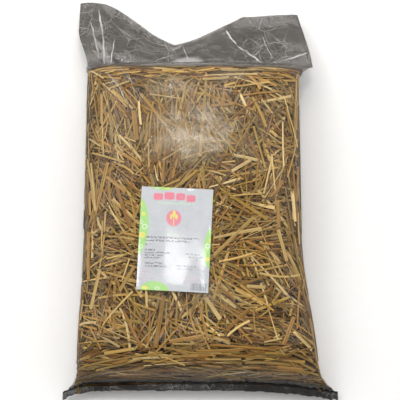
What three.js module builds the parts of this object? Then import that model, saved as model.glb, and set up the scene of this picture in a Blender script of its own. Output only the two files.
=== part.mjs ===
// A clear film bag packed with loose wheat straw, lying on its back.
// Millimetres, +Z up. The bag's long axis runs along Y, with its welded foot at -Y and its open mouth at +Y.
// The bag is one tube of film: welded across the foot, swollen by the straw, and pressed flat again at the neck.
// Inside it are the packed straw and the larger culms and leaf blades that lie against the front film.
// A paper label is stuck on the front.
import * as THREE from "three";

// ---- Driving dimensions ----
const LAY_FLAT = 396; // width of the empty tube pressed flat
const WALL = 0.8; // film wall
const PRESSED_GAP = 0.7; // space left between the two layers where the tube is pressed flat

const FOOT_Y = -260; // the weld across the foot
const HEM = 10; // film beyond the weld
const WELD_EDGE = 0.4; // how far the two layers close together past a welded edge
const NECK_Y = 208; // where the straw ends and the tube lies flat again
const FOOT_TAPER = 60; // length over which the foot fills out
const NECK_TAPER = 46; // length over which the neck closes

// How far each side of the filled body reaches from the middle, and how sharply it turns into the foot's corner.
const LEFT = { foot: 177, head: 169, ear: 2.6, sweep: 9 };
const RIGHT = { foot: 168, head: 148, ear: 1.4, sweep: 2.5 };
const NECK_HALF = 170;
const FLARE = { from: -240, to: -50 }; // the stretch over which the body narrows from foot to head
const CROWN_FOOT = 88; // height of the front above the floor, near the foot
const CROWN_HEAD = 120; // and near the neck
const CROWN_RISE = { from: -230, to: 60 };
const SIDE_SHARE = 0.46; // the widest line of the body lies this share of the way up
const FOOT_SEAM_HEIGHT = 20;
const NECK_SEAM_HEIGHT = 44;
const EAR_DROOP = 11; // how far the foot's corners hang below the middle of the seam
const EAR_SWEEP = 13; // how far they stand out past the middle of the seam
const PLAN_POWER = 2.9; // squareness of the cross-section
const UNDER_POWER = 4; // squareness of its lower half, which the floor flattens
const FLOOR_PRESS = 1.06; // how much of the underside the floor presses flat
const UNDER_LIFT = 1.5; // how quickly the underside leaves the floor towards a seam

// The mouth: its left and right ends, its reach past the neck there and at the notch, and the notch's place.
const MOUTH = { left: -187, right: 151, leftReach: 116, rightReach: 94, notchReach: 41, height: 15 };
const NOTCH_AT = -0.12; // as a share of the half width
const NOTCH_SPAN = { left: 0.8, right: 0.62 }; // how far across the mouth each flank of the notch climbs
const NOTCH_CURVE = { left: 1.3, right: 1.2 }; // how slowly each flank leaves the notch
const NOTCH_LIFT = 13; // how far the film stands up behind the notch
const NOTCH_FOLD = 0.16; // width of that fold
const COLLAR_RIPPLE = { height: 5, waves: 2.3, start: 0.8, halfWaves: 0.75 };
const COLLAR_LEFT_RUN = 0.6; // share of the collar over which its left edge swings out to the mouth
const COLLAR_RIGHT_CURVE = 1.2; // how slowly its right edge leaves the neck
const MOUTH_GAPE = 0.3; // how much further apart the two layers lie at the mouth

const RING_SEGMENTS = 40;
const EVENING = 0.7; // how strongly the points round a ring are evened out over its flat sides
const LABEL = { width: 100, height: 142, thickness: 0.5, x: -35, y: -66, turn: -3, gap: 0.4 };
const STRAW_CLEARANCE = 1.5; // from the film's inside to the nearest straw
const PACKED_TOP_INSET = 10; // the packed straw lies this far below the front film
const PACKED_SIDE_INSET = 5;
const PACKED_UNDER_INSET = 2;
const PACKED_FOOT_Y = -250;
const PACKED_NECK_Y = 193;
const PACKED_ENDS = { gather: 0.75, power: 6 }; // its points gathered towards its ends, and how blunt these are
const BLADE_THICKNESS = 0.8;
const BLADE_TIP_SHARE = 0.45; // width of a blade's tip
const CULM_BORE_SHARE = 0.6;

// The larger straws against the front film: centre x, centre y, length, direction in degrees, width.
const CULMS = [
  [-122, 144, 52, -47, 2.2],
  [-107, 145, 56, -56, 2.4],
  [-116, 97, 36, 62, 3],
  [-82, 27, 40, -51, 3.2],
  [84, 66, 62, -75, 3.8],
  [38, 90, 36, -31, 3.2],
  [128, 108, 36, -78, 3.2],
  [66, 14, 42, 16, 2.2],
  [-108, -68, 54, -51, 4],
  [-138, -56, 38, -92, 2.6],
  [-119, -97, 30, 13, 2.6],
  [-90, -155, 38, -43, 2.4],
  [-146, -200, 34, -62, 2.6],
  [100, -104, 46, 13, 3.4],
  [108, -142, 32, -126, 3.8],
  [60, -213, 92, -4, 4.2],
  [138, -156, 62, -94, 3],
  [-49, 139, 46, -9, 2.6],
  [21, 151, 70, -8, 2.6],
  [88, 146, 56, 10, 3.2],
  [-28, 90, 54, -34, 3.2],
  [-3, 54, 50, 16, 3.2],
];
const BLADES = [
  [-92, 97, 44, -84, 7],
  [-118, 13, 36, -39, 5],
  [58, 38, 32, 32, 4.6],
  [-102, -119, 38, -122, 5],
  [-147, -132, 56, -103, 5],
  [-56, -178, 72, -99, 6.4],
  [-112, -218, 42, 8, 4.4],
  [-20, -202, 46, 9, 5.4],
  [110, -28, 38, -87, 5],
  [116, -72, 44, -74, 5.4],
  [44, -64, 86, 44, 5],
  [78, -130, 26, -3, 5],
  [52, -176, 44, 42, 5],
  [124, -190, 42, 69, 6],
  [18, -160, 36, -56, 6],
];

// ---- Small helpers ----
const clamp01 = (t) => Math.min(1, Math.max(0, t));
const mix = (a, b, t) => a + (b - a) * t;
const smooth = (t) => clamp01(t) ** 2 * (3 - 2 * clamp01(t));
const signedPower = (v, p) => Math.sign(v) * Math.abs(v) ** p;
// Gathers the points round a ring towards the middles of its flat sides.
const evened = (angle) => angle - (EVENING / 4) * Math.sin(4 * angle);
// A quarter-round rise from 0 to 1.
const roundRise = (t) => Math.sqrt(1 - (1 - clamp01(t)) ** 2);

// ---- The filled length of the bag ----

// 0 at either seam, 1 over the whole filled body.
const fullness = (y) => roundRise((y - FOOT_Y) / FOOT_TAPER) * roundRise((NECK_Y - y) / NECK_TAPER);

const SEAM_SKIN = WALL + PRESSED_GAP / 2; // half the thickness of the pressed tube

// How far one side of the bag reaches from the middle at y.
function sideReach(side, y, full) {
  const body = mix(side.foot, side.head, smooth((y - FLARE.from) / (FLARE.to - FLARE.from)));
  const seam = mix(LAY_FLAT / 2, NECK_HALF, smooth((y - FOOT_Y) / (NECK_Y - FOOT_Y)));
  return mix(body, seam, (1 - full) ** side.ear);
}

// The cross-section's outer sizes at y: half width, centre, and heights of its top, sides and underside.
function section(y) {
  const full = fullness(y);
  const left = -sideReach(LEFT, y, full);
  const right = sideReach(RIGHT, y, full);
  const seamHeight = mix(FOOT_SEAM_HEIGHT, NECK_SEAM_HEIGHT, smooth((y - FOOT_Y) / (NECK_Y - FOOT_Y)));
  const crown = mix(CROWN_FOOT, CROWN_HEAD, smooth((y - CROWN_RISE.from) / (CROWN_RISE.to - CROWN_RISE.from)));
  const side = mix(seamHeight, SIDE_SHARE * crown, full);
  return {
    full,
    half: (right - left) / 2,
    centre: (left + right) / 2,
    top: Math.max(mix(seamHeight, crown, full), side + SEAM_SKIN),
    side,
    under: (seamHeight - SEAM_SKIN) * (1 - full) ** UNDER_LIFT,
  };
}

// How much a place belongs to a corner of the foot seam, 0 to 1.
function cornerShare(across, y, full) {
  const { sweep } = across < 0 ? LEFT : RIGHT;
  return y < 0 ? Math.abs(across) ** sweep * (1 - full) : 0;
}

// A point of the filled body: angle 0 is the +X side, a quarter turn is the front. The insets move it inwards.
function bodyPoint(y, angle, inset = { side: 0, top: 0, under: 0 }, shrink = 1) {
  const s = section(y);
  const across = signedPower(Math.cos(angle), 2 / PLAN_POWER);
  const up = Math.sin(angle);
  const top = s.top - inset.top;
  const under = s.under + inset.under;
  const rise = (top - s.side) * shrink * Math.max(0, up) ** (2 / PLAN_POWER);
  const fall = (s.side - under) * shrink * FLOOR_PRESS * Math.max(0, -up) ** (2 / UNDER_POWER);
  const corner = cornerShare(across, y, s.full);
  return new THREE.Vector3(
    s.centre + (s.half - inset.side) * shrink * across,
    y - EAR_SWEEP * corner,
    Math.max(under, s.side + rise - fall) - EAR_DROOP * corner,
  );
}

// ---- The flat film beyond the neck ----

// How far the mouth reaches past the neck at a place across it, -1 at the left edge to 1 at the right.
function mouthReach(across) {
  if (across < NOTCH_AT) {
    const share = clamp01((NOTCH_AT - across) / NOTCH_SPAN.left);
    return mix(MOUTH.notchReach, MOUTH.leftReach, Math.sin((Math.PI / 2) * share) ** NOTCH_CURVE.left);
  }
  const share = clamp01((across - NOTCH_AT) / NOTCH_SPAN.right);
  return mix(MOUTH.notchReach, MOUTH.rightReach, share ** NOTCH_CURVE.right);
}

// A point of the collar: along is 0 at the neck and 1 at the mouth, skin is half the thickness of the pressed tube.
function collarPoint(along, angle, skin, sideInset) {
  const across = signedPower(Math.cos(angle), 2 / PLAN_POWER);
  const leftEdge = mix(-NECK_HALF, MOUTH.left, smooth(along / COLLAR_LEFT_RUN)) + sideInset;
  const rightEdge = mix(NECK_HALF, MOUTH.right, along ** COLLAR_RIGHT_CURVE) - sideInset;
  const lift = NOTCH_LIFT * Math.exp(-(((across - NOTCH_AT) / NOTCH_FOLD) ** 2)) * along;
  const { height, waves, start, halfWaves } = COLLAR_RIPPLE;
  const ripple = height * Math.sin(waves * Math.PI * across + start) * Math.sin(halfWaves * Math.PI * along);
  const middle = mix(NECK_SEAM_HEIGHT, MOUTH.height, smooth(along)) + lift + ripple;
  return new THREE.Vector3(
    mix(leftEdge, rightEdge, (1 + across) / 2),
    NECK_Y + along * mouthReach(across),
    middle + (skin + MOUTH_GAPE * along) * signedPower(Math.sin(angle), 2 / PLAN_POWER),
  );
}

// ---- The bag ----

// Places along the bag, closer together where it curves most.
const spread = (from, to, count) =>
  Array.from({ length: count }, (_, i) => mix(from, to, i / (count - 1)));
const FOOT_STATIONS = [0, 0.04, 0.12, 0.25, 0.45, 0.7, 1].map((t) => FOOT_Y + FOOT_TAPER * t);
const NECK_STATIONS = [1, 0.7, 0.42, 0.2, 0.07, 0].map((t) => NECK_Y - NECK_TAPER * t);
const BODY_STATIONS = spread(FOOT_Y + FOOT_TAPER, NECK_Y - NECK_TAPER, 10).slice(1, -1);
const FILLED = [...FOOT_STATIONS, ...BODY_STATIONS, ...NECK_STATIONS];
const COLLAR = [0.12, 0.3, 0.5, 0.75, 1];

// Closes a flattened ring along its middle line, a little beyond it.
const closedBeyond = (ring, step) => (angle) =>
  ring(angle).add(ring(-angle)).multiplyScalar(0.5).add(new THREE.Vector3(0, step, 0));

// A lathe-turned cup, with each point of its wall moved to where the film lies.
function bagGeometry() {
  const hem = (angle) => bodyPoint(FOOT_Y, angle).add(new THREE.Vector3(0, -HEM, 0));
  const outer = [
    closedBeyond(hem, -WELD_EDGE),
    hem,
    ...FILLED.map((y) => (angle) => bodyPoint(y, angle)),
    ...COLLAR.map((t) => (angle) => collarPoint(t, angle, SEAM_SKIN, 0)),
  ];
  const inset = { side: WALL, top: WALL, under: WALL };
  const weld = (angle) => bodyPoint(FOOT_Y, angle, inset);
  const inner = [
    ...COLLAR.map((t) => (angle) => collarPoint(t, angle, PRESSED_GAP / 2, WALL)).reverse(),
    ...FILLED.map((y) => (angle) => bodyPoint(y, angle, inset)).reverse(),
    closedBeyond(weld, -WELD_EDGE),
  ];
  const rings = [...outer, ...inner];
  const profile = rings.map((_, row) => new THREE.Vector2(1, row));
  const geometry = new THREE.LatheGeometry(profile, RING_SEGMENTS);
  const place = geometry.getAttribute("position");
  for (let i = 0; i < place.count; i++) {
    const turn = (Math.floor(i / rings.length) % RING_SEGMENTS) / RING_SEGMENTS;
    const p = rings[i % rings.length](evened(-2 * Math.PI * turn));
    place.setXYZ(i, p.x, p.y, p.z);
  }
  return geometry;
}

// ---- What the bag holds ----

// Height of the front film above the floor.
function frontHeight(x, y) {
  const s = section(y);
  const across = Math.min(0.999, Math.abs((x - s.centre) / s.half));
  return s.side + (s.top - s.side) * (1 - across ** PLAN_POWER) ** (1 / PLAN_POWER);
}

// The packed straw: a sphere drawn out to the inside of the bag, with blunt ends.
function packedGeometry() {
  const geometry = new THREE.SphereGeometry(1, 32, 20);
  const place = geometry.getAttribute("position");
  const inset = { side: PACKED_SIDE_INSET, top: PACKED_TOP_INSET, under: PACKED_UNDER_INSET };
  for (let i = 0; i < place.count; i++) {
    const along = signedPower(place.getY(i), PACKED_ENDS.gather);
    const ring = Math.max(0, 1 - Math.abs(along) ** PACKED_ENDS.power) ** (2 / PACKED_ENDS.power);
    const angle = Math.atan2(place.getZ(i), place.getX(i));
    const y = mix(PACKED_FOOT_Y, PACKED_NECK_Y, (1 + along) / 2);
    const p = bodyPoint(y, angle, inset, ring);
    place.setXYZ(i, p.x, p.y, p.z);
  }
  return geometry;
}

// The line that a culm follows under the front film, with its skin just clear of the film.
function culmPath([x, y, length, turn, width]) {
  const direction = THREE.MathUtils.degToRad(turn);
  const depth = WALL + STRAW_CLEARANCE + width / 2;
  const points = spread(-length / 2, length / 2, 5).map((t) => {
    const px = x + t * Math.cos(direction);
    const py = y + t * Math.sin(direction);
    return new THREE.Vector3(px, py, frontHeight(px, py) - depth);
  });
  return new THREE.CatmullRomCurve3(points);
}

// A culm is a hollow tube.
function culmGeometry(straw) {
  const circle = (radius, sides) => new THREE.EllipseCurve(0, 0, radius, radius).getPoints(sides).slice(0, -1);
  const radius = straw[4] / 2;
  const tube = new THREE.Shape(circle(radius, 7));
  tube.holes.push(new THREE.Path(circle(radius * CULM_BORE_SHARE, 5)));
  return new THREE.ExtrudeGeometry(tube, { steps: 4, bevelEnabled: false, extrudePath: culmPath(straw) });
}

// Bends a flat sheet to lie along the front film, offset from it along Z.
function laidOnFront(geometry, { x, y, turn, offset }) {
  geometry.rotateZ(THREE.MathUtils.degToRad(turn));
  geometry.translate(x, y, offset);
  const place = geometry.getAttribute("position");
  for (let i = 0; i < place.count; i++) {
    place.setZ(i, place.getZ(i) + frontHeight(place.getX(i), place.getY(i)));
  }
  return geometry;
}

// A leaf blade is a thin strip that narrows to its tip.
function bladeGeometry([x, y, length, turn, width]) {
  const geometry = new THREE.BoxGeometry(length, width, BLADE_THICKNESS, 6, 2, 1);
  const place = geometry.getAttribute("position");
  for (let i = 0; i < place.count; i++) {
    const towardsTip = place.getX(i) / length + 0.5;
    place.setY(i, place.getY(i) * mix(1, BLADE_TIP_SHARE, towardsTip ** 3));
  }
  const offset = -(WALL + STRAW_CLEARANCE + BLADE_THICKNESS / 2);
  return laidOnFront(geometry, { x, y, turn, offset });
}

// ---- The label ----

// A thin sheet of paper that follows the front film.
function labelGeometry() {
  const { width, height, thickness, gap, ...place } = LABEL;
  const geometry = new THREE.BoxGeometry(width, height, thickness, 8, 10, 1);
  return laidOnFront(geometry, { ...place, offset: gap + thickness / 2 });
}

// ---- Materials and assembly ----
const film = new THREE.MeshStandardMaterial({ color: 0x8e8f8d, roughness: 0.2, transparent: true, opacity: 0.3 });
const paper = new THREE.MeshStandardMaterial({ color: 0xe6e8ea, roughness: 0.5 });
const packedStraw = new THREE.MeshStandardMaterial({ color: 0x8f7346, roughness: 0.9 });
const culmStraw = new THREE.MeshStandardMaterial({ color: 0xc0a468, roughness: 0.55 });
const bladeStraw = new THREE.MeshStandardMaterial({ color: 0xb08d52, roughness: 0.7 });

function part(name, geometry, material) {
  const mesh = new THREE.Mesh(geometry, material);
  mesh.name = name;
  return mesh;
}

const numbered = (stem, i) => `${stem}_${String(i + 1).padStart(2, "0")}`;
const pieces = new THREE.Group();
pieces.add(part("film_bag", bagGeometry(), film));
pieces.add(part("paper_label", labelGeometry(), paper));
pieces.add(part("packed_straw", packedGeometry(), packedStraw));
CULMS.forEach((straw, i) => pieces.add(part(numbered("culm", i), culmGeometry(straw), culmStraw)));
BLADES.forEach((straw, i) => pieces.add(part(numbered("leaf_blade", i), bladeGeometry(straw), bladeStraw)));

// The origin is under the middle of the bag, on the floor.
const extent = new THREE.Box3().setFromObject(pieces);
const middle = extent.getCenter(new THREE.Vector3());
pieces.position.set(-middle.x, -middle.y, -extent.min.z);
const strawBag = new THREE.Group();
strawBag.add(pieces);

export default strawBag;
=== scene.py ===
"""A clear film bag packed with loose wheat straw, lying on its back, with a paper label on its front."""
import math

import bmesh
import bpy
import numpy as np
from mathutils import Matrix, Vector, noise


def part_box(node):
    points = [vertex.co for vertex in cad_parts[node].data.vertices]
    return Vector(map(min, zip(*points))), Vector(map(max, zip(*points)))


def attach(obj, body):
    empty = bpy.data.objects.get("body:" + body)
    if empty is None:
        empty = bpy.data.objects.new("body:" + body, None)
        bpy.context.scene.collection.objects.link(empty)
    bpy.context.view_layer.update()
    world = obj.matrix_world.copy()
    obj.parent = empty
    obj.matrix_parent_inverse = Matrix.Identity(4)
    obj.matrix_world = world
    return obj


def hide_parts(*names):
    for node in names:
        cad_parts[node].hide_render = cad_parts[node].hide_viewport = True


bl_info = {
    "name": "Bag of loose straw",
    "version": (1, 0, 0),
    "blender": (4, 5, 0),
    "location": "View3D > Sidebar > Straw bag",
    "description": "Builds the film, label and straw of a packed bag around its measured frame",
    "category": "Object",
}

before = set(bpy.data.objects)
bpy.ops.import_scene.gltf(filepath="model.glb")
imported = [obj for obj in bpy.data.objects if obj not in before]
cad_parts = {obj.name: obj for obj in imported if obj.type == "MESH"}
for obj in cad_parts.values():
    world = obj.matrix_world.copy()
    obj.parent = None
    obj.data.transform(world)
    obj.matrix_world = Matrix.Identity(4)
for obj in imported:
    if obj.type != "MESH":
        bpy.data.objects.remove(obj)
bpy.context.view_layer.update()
BAG_LOW, BAG_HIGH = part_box("film_bag")
MM = 0.001

# ---- The bag's shape, as the frame holds it. Metres, with the foot at -Y and the mouth at +Y. ----
LAY_FLAT = BAG_HIGH.x - BAG_LOW.x
LEFT_REACH, RIGHT_REACH, NOTCH_REACH = 0.116, 0.094, 0.041  # film beyond the neck along the mouth
HEM = 0.010
EAR_SWEEP, EAR_DROOP = 0.013, 0.011
NECK_Y = BAG_HIGH.y - LEFT_REACH
FOOT_Y = BAG_LOW.y + HEM + EAR_SWEEP + 0.0004
FOOT_TAPER, NECK_TAPER = 0.060, 0.046
LEFT = {"foot": 0.177, "head": 0.169, "ear": 2.6, "sweep": 9.0}
RIGHT = {"foot": 0.168, "head": 0.148, "ear": 1.4, "sweep": 2.5}
NECK_HALF = 0.170
FLARE = (0.020, 0.210)  # from the weld, the stretch over which the body narrows
CROWN_RISE = (0.030, 0.320)
CROWN_FOOT, CROWN_HEAD = 0.088, BAG_HIGH.z
SIDE_SHARE = 0.46
FOOT_SEAM_HEIGHT, NECK_SEAM_HEIGHT = 0.020, 0.044
PLAN_POWER, UNDER_POWER = 2.9, 4.0
FLOOR_PRESS, UNDER_LIFT = 1.06, 1.5  # how flat the floor presses the underside, and how its ends lift
MOUTH_LEFT, MOUTH_RIGHT, MOUTH_HEIGHT = -0.187, 0.151, 0.015
NOTCH_AT, NOTCH_LIFT, NOTCH_FOLD = -0.12, 0.013, 0.16
NOTCH_SPAN, NOTCH_CURVE = (0.80, 0.62), (1.3, 1.2)
COLLAR_LEFT_RUN, COLLAR_RIGHT_CURVE = 0.6, 1.2
COLLAR_RIPPLE = {"height": 0.005, "waves": 2.3 * math.pi, "start": 0.8, "along": 0.75}
SEAM_SKIN = 0.00085  # half the thickness of the pressed tube

# Creases of the collar: start, end, height, half width, strength of the painted glint along it. Start and end
# are (X, Y past the neck).
CREASES = [
    ((-0.140, -0.010), (-0.157, 0.108), 4.0, 2.0, 1.0),
    ((-0.146, -0.004), (-0.170, 0.084), 3.0, 2.2, 0.6),
    ((-0.134, -0.008), (-0.129, 0.048), 3.5, 1.7, 1.0),
    ((-0.136, 0.074), (-0.076, 0.040), 2.4, 3.0, 0.25),
    ((-0.076, 0.040), (-0.020, 0.003), 2.4, 2.6, 0.25),
    ((-0.027, 0.040), (-0.016, 0.008), 3.2, 1.3, 1.0),
    ((0.040, 0.068), (0.056, 0.042), 3.4, 2.2, 1.0),
    ((0.055, 0.043), (0.096, 0.003), 3.0, 2.0, 1.0),
    ((0.095, 0.060), (0.113, 0.009), 2.4, 1.0, 0.9),
    ((0.113, 0.005), (0.166, 0.026), 2.4, 1.8, 0.8),
    ((0.096, 0.075), (0.136, 0.030), 1.6, 2.4, 0.3),
    ((-0.124, 0.002), (-0.166, 0.030), 0.6, 6.5, 0.42),
    ((-0.128, 0.004), (-0.164, 0.052), 0.6, 6.0, 0.34),
]
# Creases of the filled bag's front, running out from the left pinch of the neck, in the same form.
BODY_CREASES = [
    ((-0.140, -0.018), (-0.092, -0.094), 0.5, 1.1, 0.85),
    ((-0.124, -0.010), (-0.072, -0.084), 0.5, 1.1, 0.75),
]
BUBBLE = {"x": -0.019, "y": 0.006, "half_x": 0.024, "half_y": 0.010, "height": 0.0035}


def mix(a, b, t):
    return a + (b - a) * t


def clamp01(t):
    return np.clip(t, 0.0, 1.0)


def smooth(t):
    t = clamp01(t)
    return t * t * (3 - 2 * t)


def signed_power(v, p):
    return np.sign(v) * np.abs(v) ** p


def round_rise(t):
    """A quarter-round rise from 0 to 1."""
    return np.sqrt(1 - (1 - clamp01(t)) ** 2)


def section(y):
    """The cross-section's half width, centre, top, widest height and underside at each y."""
    up_from_foot = y - FOOT_Y
    full = round_rise(up_from_foot / FOOT_TAPER) * round_rise((NECK_Y - y) / NECK_TAPER)
    towards_head = smooth(up_from_foot / (NECK_Y - FOOT_Y))
    narrowed = smooth((up_from_foot - FLARE[0]) / (FLARE[1] - FLARE[0]))
    seam_half = mix(LAY_FLAT / 2, NECK_HALF, towards_head)
    left, right = (
        mix(mix(side["foot"], side["head"], narrowed), seam_half, (1 - full) ** side["ear"])
        for side in (LEFT, RIGHT)
    )
    seam_height = mix(FOOT_SEAM_HEIGHT, NECK_SEAM_HEIGHT, towards_head)
    crown_share = smooth((up_from_foot - CROWN_RISE[0]) / (CROWN_RISE[1] - CROWN_RISE[0]))
    crown = mix(CROWN_FOOT, CROWN_HEAD, crown_share)
    side_height = mix(seam_height, SIDE_SHARE * crown, full)
    top = np.maximum(mix(seam_height, crown, full), side_height + SEAM_SKIN)
    under = (seam_height - SEAM_SKIN) * (1 - full) ** UNDER_LIFT
    return {"full": full, "half": (left + right) / 2, "centre": (right - left) / 2,
            "top": top, "side": side_height, "under": under}


def body_point(y, angle, inset=0.0):
    """Points of the filled bag. Angle 0 is the +X side and a quarter turn is the front."""
    s = section(y)
    across = signed_power(np.cos(angle), 2 / PLAN_POWER)
    up = np.sin(angle)
    rise = (s["top"] - inset - s["side"]) * np.maximum(0, up) ** (2 / PLAN_POWER)
    fall = (s["side"] - s["under"] - inset) * FLOOR_PRESS * np.maximum(0, -up) ** (2 / UNDER_POWER)
    sweep = np.where(across < 0, LEFT["sweep"], RIGHT["sweep"])
    corner = np.where(y < 0, np.abs(across) ** sweep * (1 - s["full"]), 0.0)
    z = np.maximum(s["under"] + inset, s["side"] + rise - fall)
    return np.stack([
        s["centre"] + (s["half"] - inset) * across,
        y - EAR_SWEEP * corner,
        z - EAR_DROOP * corner,
    ], -1)


def mouth_reach(across):
    """How far the mouth reaches past the neck, from -1 at its left edge to 1 at its right."""
    left_share = clamp01((NOTCH_AT - across) / NOTCH_SPAN[0])
    right_share = clamp01((across - NOTCH_AT) / NOTCH_SPAN[1])
    left = mix(NOTCH_REACH, LEFT_REACH, np.sin(math.pi / 2 * left_share) ** NOTCH_CURVE[0])
    right = mix(NOTCH_REACH, RIGHT_REACH, right_share ** NOTCH_CURVE[1])
    return np.where(across < NOTCH_AT, left, right)


def collar_point(along, angle, skin):
    """Points of the pressed tube beyond the neck: along is 0 at the neck and 1 at the mouth."""
    across = signed_power(np.cos(angle), 2 / PLAN_POWER)
    left_edge = mix(-NECK_HALF, MOUTH_LEFT, smooth(along / COLLAR_LEFT_RUN))
    right_edge = mix(NECK_HALF, MOUTH_RIGHT, along ** COLLAR_RIGHT_CURVE)
    lift = NOTCH_LIFT * np.exp(-(((across - NOTCH_AT) / NOTCH_FOLD) ** 2)) * along
    wave = np.sin(COLLAR_RIPPLE["waves"] * across + COLLAR_RIPPLE["start"])
    ripple = COLLAR_RIPPLE["height"] * wave * np.sin(math.pi * along * COLLAR_RIPPLE["along"])
    middle = mix(NECK_SEAM_HEIGHT, MOUTH_HEIGHT, smooth(along)) + lift + ripple
    return np.stack([
        mix(left_edge, right_edge, (1 + across) / 2),
        NECK_Y + along * mouth_reach(across),
        middle + skin * signed_power(np.sin(angle), 2 / PLAN_POWER),
    ], -1)


def front_height(x, y):
    """Height of the front film above the floor."""
    s = section(y)
    across = np.minimum(0.999, np.abs((x - s["centre"]) / s["half"]))
    return s["side"] + (s["top"] - s["side"]) * (1 - across ** PLAN_POWER) ** (1 / PLAN_POWER)


# ---- Settings that a user would change ----

class FilmSettings(bpy.types.PropertyGroup):
    wall: bpy.props.FloatProperty(
        name="Wall", description="Thickness of the film", default=0.25 * MM, unit="LENGTH")
    lumps: bpy.props.FloatProperty(
        name="Lumps", description="How far the straw pushes the film out", default=1.3 * MM, unit="LENGTH")
    # Colour of the painted glare on the film over the straw.
    haze_tint: bpy.props.FloatVectorProperty(
        name="Haze tint", description="Colour of hazed film over straw",
        default=(0.80, 0.66, 0.44), subtype="COLOR")
    # Colour of the painted glints along creases and ridges and on the collar's bubble, and of the hem's weld
    # line.
    crease_tint: bpy.props.FloatVectorProperty(
        name="Crease tint", description="Colour of film that is whitened at a crease",
        default=(0.72, 0.72, 0.71), subtype="COLOR")
    smoke_tint: bpy.props.FloatVectorProperty(
        name="Smoke tint", description="Colour of the film where it lies double",
        default=(0.085, 0.078, 0.072), subtype="COLOR")


class StrawSettings(bpy.types.PropertyGroup):
    count: bpy.props.IntProperty(
        name="Straws", description="How many loose straws are laid in the bag", default=12500, min=1)
    width: bpy.props.FloatProperty(
        name="Width", description="Usual width of a straw", default=2.8 * MM, unit="LENGTH")
    length: bpy.props.FloatProperty(
        name="Length", description="Usual length of a straw", default=48 * MM, unit="LENGTH")
    deepest: bpy.props.FloatProperty(
        name="Deepest", description="How far under the film loose straws are still laid",
        default=15 * MM, unit="LENGTH")
    seed: bpy.props.IntProperty(
        name="Seed", description="Number that fixes every random draw", default=7)


class LabelSettings(bpy.types.PropertyGroup):
    width: bpy.props.FloatProperty(
        name="Width", description="Width of the label", default=100 * MM, unit="LENGTH")
    height: bpy.props.FloatProperty(
        name="Height", description="Height of the label", default=142 * MM, unit="LENGTH")
    paper: bpy.props.FloatVectorProperty(
        name="Paper", description="Colour of the unprinted paper",
        default=(0.51, 0.53, 0.56), subtype="COLOR")
    leaf_green: bpy.props.FloatVectorProperty(
        name="Green", description="Colour of the printed blobs",
        default=(0.36, 0.62, 0.22), subtype="COLOR")
    heading: bpy.props.FloatVectorProperty(
        name="Heading", description="Colour of the heading bars",
        default=(0.72, 0.20, 0.27), subtype="COLOR")


SETTINGS = {"bag_film": FilmSettings, "bag_straw": StrawSettings, "bag_label": LabelSettings}


# ---- Shader helpers ----

class Shader:
    """A node tree being wired up, for a material or for a group."""

    def __init__(self, tree):
        self.tree = tree

    def add(self, kind, inputs=None, **settings):
        node = self.tree.nodes.new("ShaderNode" + kind)
        for name, value in settings.items():
            setattr(node, name, value)
        self.wire(node, inputs or {})
        return node

    def wire(self, node, values):
        """Feeds each value to the node's input of that name."""
        for key, value in values.items():
            self.feed(node.inputs[key], value)

    def feed(self, socket, value):
        if isinstance(value, bpy.types.Node):
            value = value.outputs[0]
        if isinstance(value, bpy.types.NodeSocket):
            self.tree.links.new(value, socket)
        elif socket.type == "RGBA" and len(value) == 3:
            socket.default_value = (*value, 1.0)
        else:
            socket.default_value = value

    def math(self, operation, *values, clamp=False):
        return self.add("Math", dict(enumerate(values)), operation=operation, use_clamp=clamp)

    def times(self, first, second):
        return self.math("MULTIPLY", first, second)

    def plus(self, first, second):
        return self.math("ADD", first, second)

    def larger(self, first, second):
        return self.math("MAXIMUM", first, second)

    def offset(self, vector, factor, base):
        """A vector times a factor, added to a base."""
        return self.add("VectorMath", {0: vector, 1: factor, 2: base}, operation="MULTIPLY_ADD")

    def blend(self, share, first, second, way="MIX"):
        node = self.add("Mix", data_type="RGBA", blend_type=way)
        for socket, value in zip((node.inputs[0], node.inputs[6], node.inputs[7]), (share, first, second)):
            self.feed(socket, value)
        return node.outputs[2]

    def steps(self, value, low, high, start=0.0, end=1.0):
        return self.add("MapRange", {0: value, 1: low, 2: high, 3: start, 4: end}, clamp=True)

    def ramp(self, value, stops):
        node = self.add("ValToRGB", {0: value})
        elements = node.color_ramp.elements
        while len(elements) < len(stops):
            elements.new(1.0)
        for element, (place, colour) in zip(elements, stops):
            element.position = place
            element.color = (*colour, 1.0)
        return node.outputs[0]

    def noise(self, vector, scale, detail=3.0, roughness=0.5, distortion=0.0):
        return self.add("TexNoise", {"Vector": vector, "Scale": scale, "Detail": detail,
                                     "Roughness": roughness, "Distortion": distortion})

    def group_end(self, which):
        return self.tree.nodes.new("NodeGroup" + which)

    def group(self, tree, **inputs):
        node = self.add("Group")
        node.node_tree = tree
        self.wire(node, {name.replace("_", " "): value for name, value in inputs.items()})
        return node


def new_material(name):
    """An empty material with its surface shader, as (material, shader, principled)."""
    material = bpy.data.materials.new(name)
    material.use_nodes = True
    shader = Shader(material.node_tree)
    return material, shader, material.node_tree.nodes["Principled BSDF"]


def new_group(name, inputs, outputs):
    """A shader group with named sockets, as (tree, shader, inside input node, inside output node)."""
    tree = bpy.data.node_groups.new(name, "ShaderNodeTree")
    for socket_name, (kind, default) in inputs.items():
        socket = tree.interface.new_socket(socket_name, in_out="INPUT", socket_type="NodeSocket" + kind)
        if default is not None:
            socket.default_value = default
    for socket_name, kind in outputs.items():
        tree.interface.new_socket(socket_name, in_out="OUTPUT", socket_type="NodeSocket" + kind)
    shader = Shader(tree)
    return tree, shader, shader.group_end("Input"), shader.group_end("Output")


def shared_group(name, build):
    """The node group of that name, built the first time that it is asked for."""
    return bpy.data.node_groups.get(name) or build(name)


# ---- Mesh helpers ----

def finish_piece(bm, name, material, slot, *replaced, sharp=math.radians(40)):
    """Turns a bmesh into a shaded piece that rides on the bag and stands for the named CAD nodes."""
    bmesh.ops.recalc_face_normals(bm, faces=bm.faces)
    mesh = bpy.data.meshes.new(name)
    bm.to_mesh(mesh)
    bm.free()
    return dress_piece(mesh, material, slot, *replaced, sharp=sharp)


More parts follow.
